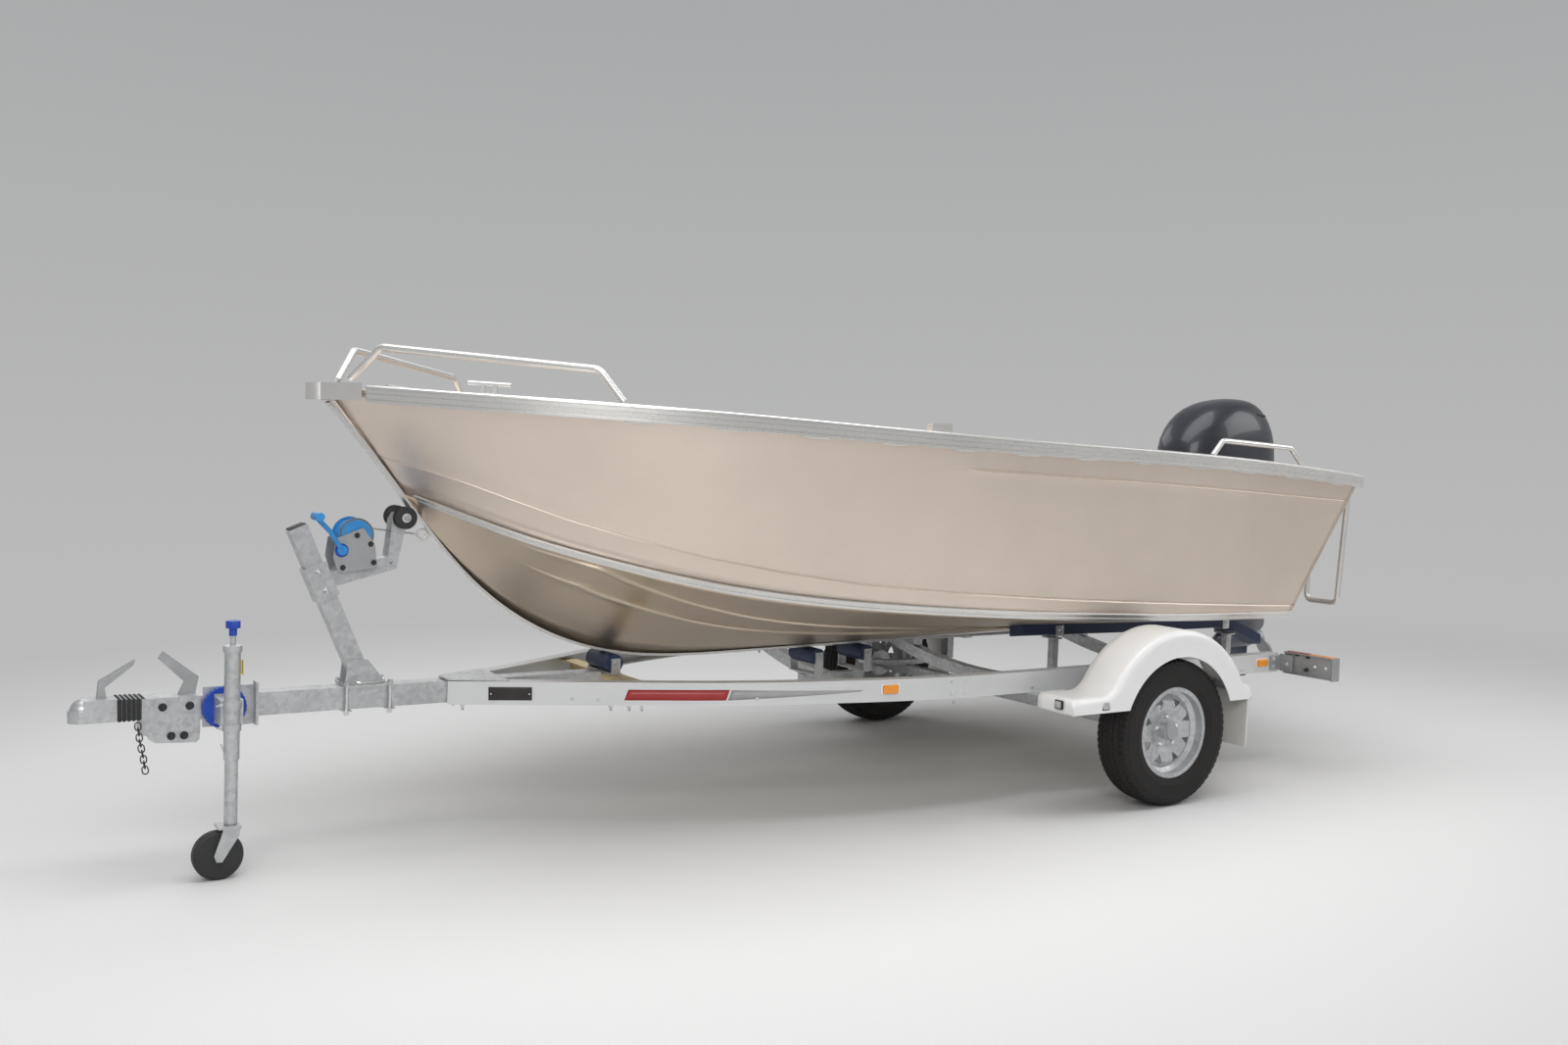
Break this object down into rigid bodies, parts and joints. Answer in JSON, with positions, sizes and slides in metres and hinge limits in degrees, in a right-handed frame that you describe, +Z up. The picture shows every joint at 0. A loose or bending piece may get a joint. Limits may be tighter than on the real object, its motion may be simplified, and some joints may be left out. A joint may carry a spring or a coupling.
{
  "type": "aluminium fishing boat on a road trailer",
  "caption": "Open aluminium dinghy with benches, bow and stern rails and an outboard motor, parked on its galvanised trailer with winch post and jockey wheel.",
  "frame": {"origin": "on the floor under the middle of the bounding box, on the centreline", "axes": "+X towards the bow and the tow coupling, +Y to port, +Z up"},
  "size_m": [5.5028, 2.072, 1.6871],
  "materials": {
    "bare_aluminium": "satin, brushed up and down",
    "bright_aluminium": "bright extrusion",
    "non_slip_deck": "grey non-slip covering on sheet",
    "galvanised_steel": "hot-dip galvanised, spangled",
    "gold_passivated_steel": "yellow passivated",
    "navy_plastic": "dark blue skid plastic",
    "black_rubber": "matt",
    "tyre": "matt block tread",
    "motor_alloy": "cast, with dark blue-black gloss paint",
    "motor_pan": "moulded, dark blue-black",
    "cowl_shell": "grey-black gloss",
    "propeller_alloy": "light grey",
    "engine_mass": "plain block",
    "white_plastic": "moulded",
    "flap_rubber": "pale flexible sheet",
    "lamp_red": "ribbed lens",
    "winch_grey": "satin",
    "bright_blue": "moulded",
    "blue_plastic": "moulded",
    "wire_rope": "twisted",
    "cast_black": "black"
  },
  "bodies": {
    "boat_and_trailer": {"hull_side_port": "bare_aluminium", "hull_side_starboard": "bare_aluminium", "hull_bottom": "bare_aluminium", "chines": "bright_aluminium", "gunwales": "bare_aluminium", "keel_bar": "bright_aluminium", "transom": "bare_aluminium", "floor": "non_slip_deck", "rear_seat": "bare_aluminium", "middle_seat": "bare_aluminium", "front_seat": "bare_aluminium", "bow_deck": "bare_aluminium", "bow_cap": "bare_aluminium", "bow_rails": "bright_aluminium", "stern_rails": "bright_aluminium", "gunwale_fittings": "bright_aluminium", "bow_eye": "bright_aluminium", "boarding_step": "bright_aluminium", "clamp_bracket": "motor_alloy", "keel_rollers": "black_rubber", "roller_posts": "galvanised_steel", "skids": "navy_plastic", "skid_posts": "galvanised_steel", "axle": "galvanised_steel", "leaf_springs": "galvanised_steel", "side_rail_port": "galvanised_steel", "side_rail_starboard": "galvanised_steel", "drawbar": "galvanised_steel", "crossmembers": "galvanised_steel", "front_crossmember": "gold_passivated_steel", "mudguards": "white_plastic", "guard_bars": "galvanised_steel", "mud_flaps": "flap_rubber", "tail_lights": "lamp_red", "winch_post": "galvanised_steel", "winch_arm": "galvanised_steel", "bow_rollers": "black_rubber", "winch": "winch_grey", "winch_drum": "bright_blue", "winch_cable": "wire_rope", "coupling": "galvanised_steel", "coupling_levers": "winch_grey", "jockey_clamp": "galvanised_steel"},
    "wheel_port": {"tyre_port": "tyre", "rim_port": "galvanised_steel"},
    "wheel_starboard": {"tyre_starboard": "tyre", "rim_starboard": "galvanised_steel"},
    "jockey_swing": {"jockey_disc": "blue_plastic", "jockey_tube": "galvanised_steel", "jockey_knob": "blue_plastic"},
    "jockey_post": {"jockey_leg": "galvanised_steel"},
    "jockey_caster": {"jockey_fork": "galvanised_steel"},
    "jockey_roller": {"jockey_wheel": "cast_black"},
    "motor_tilt": {"swivel_bracket": "motor_alloy"},
    "motor": {"motor_leg": "motor_alloy", "motor_pan": "motor_pan", "cowl": "cowl_shell", "engine_block": "engine_mass"},
    "motor_propeller": {"propeller": "propeller_alloy"}
  },
  "joints": [
    {"name": "port_wheel_spin", "type": "hinge", "parent": "boat_and_trailer", "child": "wheel_port", "pos_m": [-1.00944, 0.938, 0.2885], "axis": [0, 1, 0], "continuous": true},
    {"name": "starboard_wheel_spin", "type": "hinge", "parent": "boat_and_trailer", "child": "wheel_starboard", "pos_m": [-1.00944, -0.938, 0.2885], "axis": [0, 1, 0], "continuous": true},
    {"name": "jockey_swing", "type": "hinge", "parent": "boat_and_trailer", "child": "jockey_swing", "pos_m": [2.30556, 0.166, 0.519], "axis": [0, 1, 0], "range_deg": [0, 90]},
    {"name": "jockey_raise", "type": "slide", "parent": "jockey_swing", "child": "jockey_post", "axis": [-0.0177, 0, 0.9998], "range_m": [-0.03, 0.2]},
    {"name": "jockey_caster", "type": "hinge", "parent": "jockey_post", "child": "jockey_caster", "pos_m": [2.30556, 0.166, 0.519], "axis": [-0.0177, 0, 0.9998], "continuous": true},
    {"name": "jockey_wheel_spin", "type": "hinge", "parent": "jockey_caster", "child": "jockey_roller", "pos_m": [2.35156, 0.166, 0.076], "axis": [0, 1, 0], "continuous": true},
    {"name": "motor_tilt", "type": "hinge", "parent": "boat_and_trailer", "child": "motor_tilt", "pos_m": [-2.18444, 0, 1.15], "axis": [0, 1, 0], "range_deg": [0, 62]},
    {"name": "motor_steer", "type": "hinge", "parent": "motor_tilt", "child": "motor", "pos_m": [-2.33144, 0, 1], "axis": [0, 0, 1], "range_deg": [-35, 35]},
    {"name": "propeller_spin", "type": "hinge", "parent": "motor", "child": "motor_propeller", "pos_m": [-2.67744, 0, 0.43], "axis": [1, 0, 0], "continuous": true}
  ]
}
